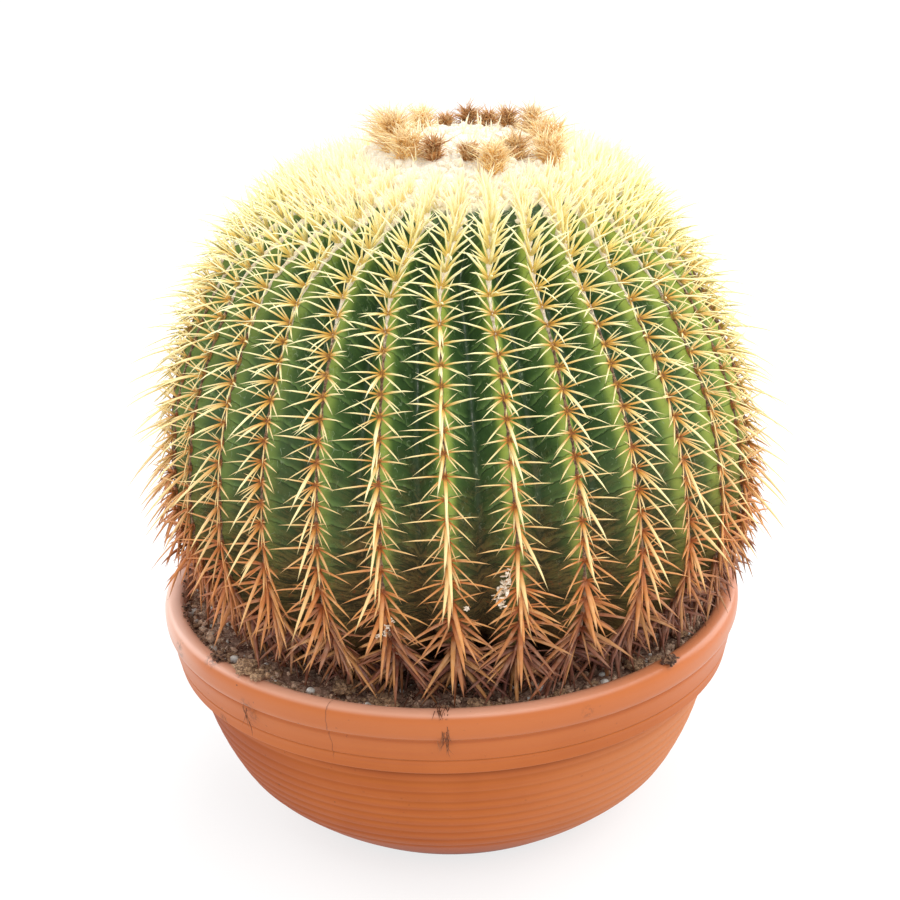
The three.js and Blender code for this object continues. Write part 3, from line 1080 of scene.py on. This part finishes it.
def spine_cluster(thicket, rib_angle, length):
    """All the spines of one areole."""
    root, outward, upward, sideways = on_rib(rib_angle, length, 0.2)
    age = float(np.interp(root.z, AGE_HEIGHTS, AGES))
    # The youngest spines are a little untidy, and the oldest ones a lot. From the middle down,
    # the ones to the side look older than their age, and the ones that point out look younger.
    untidy = 1 + 2.0 * smooth(0.72, 1, age) + 0.2 * (1 - smooth(0.0, 0.3, age))
    shortest = 0.72 - 0.2 * smooth(0.7, 1, age)
    darkens, old = smooth(0.35, 0.55, age), smooth(0.66, 0.84, age)
    for sort in KINDS:
        for hand in (1, -1) if sort["both_sides"] else (1,):
            reach = at_age(sort["length"], age)
            if reach < SHORTEST or dice.random() < MISSING:
                continue
            loose = sort["loose"] * untidy
            clock = math.radians(hand * at_age(sort["clock"], age) + dice.gauss(0, loose * 0.7))
            raised = math.radians(at_age(sort["raised"], age) + dice.gauss(0, loose * 0.5))
            flat_way = upward * math.cos(clock) + sideways * math.sin(clock)
            way = flat_way * math.cos(raised) + outward * math.sin(raised)
            bend = Vector((spread(0.06), spread(0.06), -1)) * at_age(sort["bend"], age)
            bend += sideways * spread(0.05) - outward * 0.04
            width = at_age(sort["width"], age) * dice.uniform(0.85, 1.15)
            model = STOUT if width > STOUT_FROM else THIN
            base = root + flat_way * 0.8
            reach *= dice.uniform(shortest, 1.16)
            while not in_box(base + (way + bend) * reach):
                reach *= 0.95
            looks = age + darkens * (0.04 if sort["both_sides"] else -0.07 * (1 - old))
            thicket.grow(model, base, way, reach, width, bend, looks, sort["flat"])


# %% [markdown]
# A spine is rusty at its root and pale at its tip, and both darken with age. Some are worn grey.
# Low on the right painted shade darkens them, low on the left painted shade turns them red-brown,
# and high at both sides of the outline a painted highlight pales them. A faint glow is painted
# light: it stands for light that comes through young spines, and lifts the shade on older ones.

# %% Spine finish
horn = Finish("spines", IOR=1.45, Specular_IOR_Level=0.4)
horn_x, horn_up = horn.part("X"), horn.part("Z")
horn_along, horn_age, horn_chance = (
    horn.attribute(name) for name in ("along", "age", "chance")
)
horn_roots = horn.by_age(horn_age, [
    (0.0, rgb(250, 232, 160)), (0.14, rgb(246, 222, 106)), (0.35, rgb(232, 182, 72)),
    (0.62, rgb(210, 134, 56)), (0.8, rgb(184, 98, 44)), (1.0, rgb(104, 52, 38)),
])
horn_tips = horn.by_age(horn_age, [
    (0.0, rgb(252, 241, 210)), (0.14, rgb(252, 247, 196)), (0.35, rgb(251, 243, 188)),
    (0.62, rgb(244, 214, 148)), (0.8, rgb(212, 140, 76)), (1.0, rgb(138, 80, 56)),
])
horn.colour = horn.mix(horn_along.step(0.04, 0.62), horn_roots, horn_tips)
rust = horn_along.fall(0.0, 0.13) * horn_age.step(0.18, 0.38)
horn.paint(rust * 0.8, rgb(136, 58, 22))
ochre = horn_chance.fall(0.1, 0.35) * horn_age.step(0.7, 0.86) * horn_along.step(0.0, 0.3)
horn.paint(ochre * 0.6, rgb(220, 160, 92))
worn = horn_chance.step(0.6, 0.9) * horn_age.step(0.8, 1.0)
horn.paint(worn * 0.6, rgb(126, 82, 74))
horn.paint(horn.noise(5).step(0.4, 0.75) * 0.12, rgb(255, 246, 220))
# Painted shade, low on the right.
shade_low_right = horn_x.step(30, 130) * horn_up.fall(165, 225)
horn.paint(shade_low_right * 0.55, rgb(118, 74, 58))
# Painted shade, low on the left.
shade_low_left = horn_x.fall(-180, -100) * horn_up.fall(200, 280)
horn.paint(shade_low_left * 0.5, rgb(184, 98, 50))
# Painted highlight along both sides of the outline.
outline_highlight = abs(horn_x).step(130, 190) * horn_up.step(250, 320)
horn.paint(outline_highlight * 0.4, rgb(252, 230, 158))
horn.glow(horn.by_age(horn_age, [
    (0.0, rgb(136, 128, 104)), (0.3, rgb(104, 88, 56)), (0.72, rgb(80, 54, 28)),
    (1.0, rgb(0, 0, 0)),
]), 0.6)
horn_rings = horn.noise(1.2)
horn_material = horn.done(0.42 + horn_rings * 0.25, horn_rings, 0.12)

# %% Rows of spines
for rib in range(RIBS):
    thicket = Thicket()
    rib_angle = FIRST_RIB + rib * RIB_STEP
    for length_up in areoles[rib]:
        spine_cluster(thicket, rib_angle, length_up)
    number = f"{rib + 1:02d}"
    add_piece(f"spines_of_rib_{number}", thicket.bm, horn_material,
              [f"spine_row_{number}"])

# %% [markdown]
# ## Felt
# Between the areoles the crest carries a strip of old felt, white near the crown and grey-brown
# lower down. It is a six-sided bar that is cut into many rings, laid along the crest and swollen
# at each areole.

# %% Felt strips
FELT_RINGS = 110


def bar(bm):
    """A six-sided bar of unit length along +Z, cut into rings."""
    bmesh.ops.create_cone(
        bm, cap_ends=True, cap_tris=False, segments=6, radius1=1, radius2=1, depth=1
    )
    bmesh.ops.translate(bm, vec=Vector((0, 0, 0.5)), verts=bm.verts)
    upright = [e for e in bm.edges if abs(e.verts[0].co.z - e.verts[1].co.z) > 0.5]
    bmesh.ops.subdivide_edges(bm, edges=upright, cuts=FELT_RINGS, use_grid_fill=True)


BAR = template(bar)
felt = bmesh.new()
swollen = felt.verts.layers.float.new("swollen")
for rib in range(RIBS):
    row = areoles[rib]
    rib_angle = FIRST_RIB + rib * RIB_STEP
    start, end = row[0] - 4, row[-1] + 3
    for vertex in add_copy(felt, BAR):
        x, y, t = vertex.co
        here = start + (end - start) * t
        point, outward, upward, sideways = on_rib(rib_angle, here)
        cycle = float(np.interp(here, row, range(len(row))))
        near = 0.5 + 0.5 * math.cos(FULL_TURN * cycle)  # 1 at an areole, 0 midway to the next
        young = smooth(392, 440, point.z)
        lumps = noise.noise(point / 4) + 0.6 * noise.noise(point / 1.8)
        wide = 0.75 + 0.8 * near + young * (0.2 + 1.9 * near + 1.3 * lumps)
        tall = 0.8 + 0.6 * near + young * (1.5 + 0.8 * near + 1.2 * lumps)
        ends = math.sqrt(max(1 - (2 * t - 1) ** 16, 0))
        vertex.co = point + sideways * (x * wide * ends) + outward * ((y * tall - 0.7) * ends)
        vertex[swollen] = near

wool = Finish("felt and wool", Roughness=1.0, Sheen_Weight=0.25)
wool_up = wool.part("Z")
lint = wool.noise(2.0, 4, 0.7)
amber = wool.mix(wool_up.step(310, 400), rgb(190, 108, 48), rgb(238, 190, 96))
mid_felt = wool.mix(lint.step(0.35, 0.6), rgb(244, 222, 194), rgb(255, 247, 232))
young_felt = wool.mix(lint.step(0.35, 0.6), rgb(246, 232, 202), rgb(254, 250, 238))
wool.colour = wool.mix(lint.step(0.44, 0.58), rgb(100, 72, 54), rgb(168, 134, 102))
wool.paint(wool.attribute("swollen").step(0.5, 0.9) * 0.8, amber)
wool.paint((wool_up + lint * 40).step(390, 412), mid_felt)
wool.paint((wool_up + lint * 30).step(418, 446), young_felt)
wool_glow = wool.mix(wool_up.step(368, 428), rgb(0, 0, 0), rgb(160, 146, 122))
wool.glow(wool.mix(wool_up.step(448, 460), wool_glow, rgb(104, 92, 76)), 0.55)
wool_material = wool.done(None, lint + wool.noise(0.8), 0.9)
add_piece("felt_strips", felt, wool_material)

# %% [markdown]
# ## The crown
# The growing point is packed with white wool, and the youngest spines stand in it, pale and
# crowded. The wool is a low dome with many small woolly lumps and loose hairs on it.

# %% Crown wool
VALLEYS_BEGIN = 87
DOME_STEPS = 150
TUFTS, CREST_TUFTS, WOOL_HAIRS = 420, 1500, 2400
apex_shift = axis_shift(CREST[-1][1])


def crown_height(ring):
    """The height of the stem's surface at a distance from the growing point."""
    upper = crest_points[crest_points[:, 1] > 380]
    order = np.argsort(upper[:, 0])
    return float(np.interp(ring, upper[order, 0], upper[order, 1]))


def crown_angle(ring):
    """A random angle, which keeps to the ribs' crests out where the valleys have begun."""
    if ring < VALLEYS_BEGIN:
        return dice.uniform(0, FULL_TURN)
    return FIRST_RIB + (dice.randrange(RIBS) + spread(0.24)) * RIB_STEP


def in_crown(ring, angle, lift=0.0):
    point = polar(ring, angle, crown_height(ring) + lift)
    point.x += axis_shift(crown_height(ring))
    return point


dome_line = [(k * 2.0, crown_height(k * 2.0) + 1) for k in range(36)]
dome_line += [(70, crown_height(70) - 4), (0, crown_height(70) - 6)]
dome = spun(dome_line, DOME_STEPS)
for vertex in dome.verts:
    ring = math.hypot(vertex.co.x, vertex.co.y)
    if vertex.co.z > crown_height(ring) - 2:
        swell = 6.0 + 2.4 * noise.noise(vertex.co / 9) + 1.3 * noise.noise(vertex.co / 3.5)
        vertex.co.z += swell * (1 - smooth(54, 72, ring))
    vertex.co.x += axis_shift(max(vertex.co.z, 400))
add_piece("wool_dome", dome, wool_material, ["crown_wool"])

tufts = bmesh.new()
for _ in range(TUFTS):
    ring = math.sqrt(dice.uniform(0, 1)) * 78
    size = dice.uniform(2.2, 3.9)
    lift = 2.0 + 4.0 * (1 - smooth(54, 76, ring)) + spread(1.4)
    strew(tufts, GRAIN, in_crown(ring, dice.uniform(0, FULL_TURN), lift), (size, size, size * 0.9))
for _ in range(CREST_TUFTS):
    ring = dice.uniform(66, 102)
    size = dice.uniform(1.6, 3.2)
    at = in_crown(ring, crown_angle(ring), 0.8 + spread(1.2))
    strew(tufts, CRUMB, at, (size, size, size * 0.9))
add_piece("wool_lumps", tufts, wool_material)

hairs = Thicket()
for _ in range(WOOL_HAIRS):
    ring = math.sqrt(dice.uniform(0, 1)) * 104
    turn_by = crown_angle(ring)
    way = (polar(0.5, turn_by, 0.9) + scatter(1, 1, 0.5)).normalized()
    bend = scatter(0.9, 0.9, 0.7)
    lift = 1.5 + 4.5 * (1 - smooth(54, 76, ring))
    hairs.grow(HAIR, in_crown(ring, turn_by, lift), way, dice.uniform(3, 7), 0.35, bend, 0.0)
add_piece("wool_hairs", hairs.bm, wool_material)

# %% Youngest spines
SHOULDER_SPINES, CENTRE_SPINES = 420, 46
young_spines = Thicket()
for _ in range(SHOULDER_SPINES):
    ring = dice.uniform(70, 106)
    turn_by = crown_angle(ring)
    way = (polar(0.1 + ring / 150, turn_by, 1.0) + scatter(0.3, 0.3, 0)).normalized()
    reach = dice.uniform(0.75, 1.1) * (9 + 19 * smooth(70, 98, ring))
    young_spines.grow(THIN, in_crown(ring, turn_by, 0.5), way, reach, dice.uniform(1.3, 1.8),
                      Vector((spread(0.1), spread(0.1), -0.06)), 0.03)
for _ in range(CENTRE_SPINES):
    turn_by = dice.uniform(0, FULL_TURN)
    way = (polar(0.15, turn_by, 1.0) + scatter(0.3, 0.3, 0)).normalized()
    at = in_crown(dice.uniform(6, 62), turn_by, 4)
    young_spines.grow(THIN, at, way, dice.uniform(9, 19), 1.2, Vector((0, 0, -0.05)), 0.02)
add_piece("young_spines", young_spines.bm, horn_material)

# %% [markdown]
# ## Dried flowers
# Old flowers stay on the crown as brushes of dry bristles, golden outside and brown at the heart.
# Each is a thicket of fine hairs that fans out of a small cup, as wide and tall as its CAD solid.
# The dark ones stand mostly at the back.

# %% Dried flowers
# How brown each dark flower is, counted from 1. The others are golden.
DARK_FLOWERS = {4: 0.85, 5: 0.7, 7: 0.45, 11: 0.75, 12: 0.85, 13: 1.0, 14: 0.8, 10: 0.3, 2: 0.15}
FAR_FLOWERS, WIDE_FLOWERS = range(9, 15), range(6, 9)
BRISTLES, CUP_SPIKES = 400, 10

bristle = Finish("dry bristles", Roughness=0.7)
bristle_along = bristle.attribute("along")
bristle_age = bristle.attribute("age")
golden = bristle.mix(bristle_along.step(0.0, 0.8), rgb(244, 198, 114), rgb(255, 243, 200))
brown = bristle.mix(bristle_along.step(0.1, 1.0), rgb(134, 72, 32), rgb(212, 152, 90))
bristle.colour = bristle.mix(bristle_age, golden, brown)
bristle.paint(bristle.attribute("chance").step(0.55, 1.0) * 0.45, rgb(198, 132, 58))
bristle.glow(bristle.mix(bristle_age, rgb(140, 108, 62), rgb(30, 14, 6)), 0.5)
bristle_material = bristle.done(0.6 + bristle_along * 0.2)
for k in range(15):
    node = f"dried_flower_{k + 1:02d}"
    low, high = box_mm(node)
    middle = (low + high) / 2
    half = (high - low) / 2
    away = Vector((middle.x - apex_shift, middle.y, 0))
    drawn_in = 5 + 8 * max(-away.x / away.length, 0)
    foot = in_crown(away.length - drawn_in, math.atan2(away.x, -away.y), 5.5)
    tall = (high.z - low.z) * (1.15 if k < 2 else 0.98)
    wide = 0.6 if k in FAR_FLOWERS else 1.05 if k in WIDE_FLOWERS else 0.78
    wide *= min(half.x, half.y)
    brush = Thicket()
    dark = DARK_FLOWERS.get(k + 1, 0.0)
    cup = 0.5 + 0.2 * (k % 3)
    slant = scatter(0.2, 0.2, 0)
    for _ in range(BRISTLES):
        lean = math.sqrt(dice.random())
        out = polar(1, dice.uniform(0, FULL_TURN), 0)
        root = foot + out * (lean * wide * cup) + Vector((0, 0, dice.uniform(-1, 0.6 * tall)))
        reach = tall * dice.uniform(0.25, 0.62) * (1 - 0.2 * lean)
        way = (Vector((0, 0, 0.8)) + slant + out * lean * (0.75 - 0.3 * cup)
               + scatter(0.6, 0.6, 0.2)).normalized()
        bend = out * spread(0.8) + scatter(0.9, 0.9, 0.4)
        while not in_box(root + (way + bend) * reach):
            reach *= 0.9
        brush.grow(HAIR, root, way, reach, dice.uniform(0.5, 1.0), bend,
                   min(max(dark + spread(0.45), 0), 1))
    for _ in range(CUP_SPIKES):
        out = polar(1, dice.uniform(0, FULL_TURN), 0)
        brush.grow(STOUT, foot - Vector((0, 0, 3)), (Vector((0, 0, 1)) + out * 0.3).normalized(),
                   tall * 0.6, wide * 0.6, out * 0.15, min(dark + 0.4, 1.0))
    add_piece(f"dry_flower_{k + 1:02d}", brush.bm, bristle_material, [node])

# %% [markdown]
# ## Caught scraps
# A dry petal or two has blown down and hangs in the spines near the foot, crumpled and nearly
# white. Each scrap is a cluster of thin flakes made of flattened pebbles.

# %% Papery scraps
SCRAPS = [  # rib counted from the front, height, distance to the side, flakes, spread, flake size
    (1, 251, -8, 5, 1.6, 1.1), (1, 246, -9, 7, 2.4, 1.5), (1, 241, -12, 13, 3.2, 2.1),
    (1, 235, -14, 7, 2.4, 1.8), (1, 231, -12, 8, 2, 1.6), (-1, 220, 6, 7, 1.2, 0.8),
    (-1, 216, 3, 9, 1.6, 0.9), (-1, 212, 0, 8, 1.6, 0.9), (-1, 209, -4, 8, 1.2, 0.8),
    (0, 230, 10, 5, 1.3, 1.2), (-8, 262, 6, 4, 1.5, 1.2),
]
scraps = bmesh.new()
for rib, height, aside, flakes, reach, size in SCRAPS:
    length_up = float(np.interp(height, crest_points[:, 1], crest_lengths))
    centre, outward, upward, sideways = on_rib(FIRST_RIB + rib * RIB_STEP, length_up, 7)
    for _ in range(flakes):
        at = centre + sideways * (aside + spread(reach)) + upward * spread(reach)
        at += outward * spread(2)
        strew(scraps, GRAIN, at, (size * dice.uniform(0.8, 1.8), size * 0.6, 0.35))
petal = Finish("dry petals", Roughness=0.9)
petal.colour = petal.mix(petal.noise(1.5).step(0.35, 0.6), rgb(206, 178, 146), rgb(250, 240, 224))
add_piece("caught_scraps", scraps, petal.done())

# %% [markdown]
# ## Triangles
# The last step prints how many triangles the pieces have in all.

# %% Triangles
print("all triangles:", total_faces)
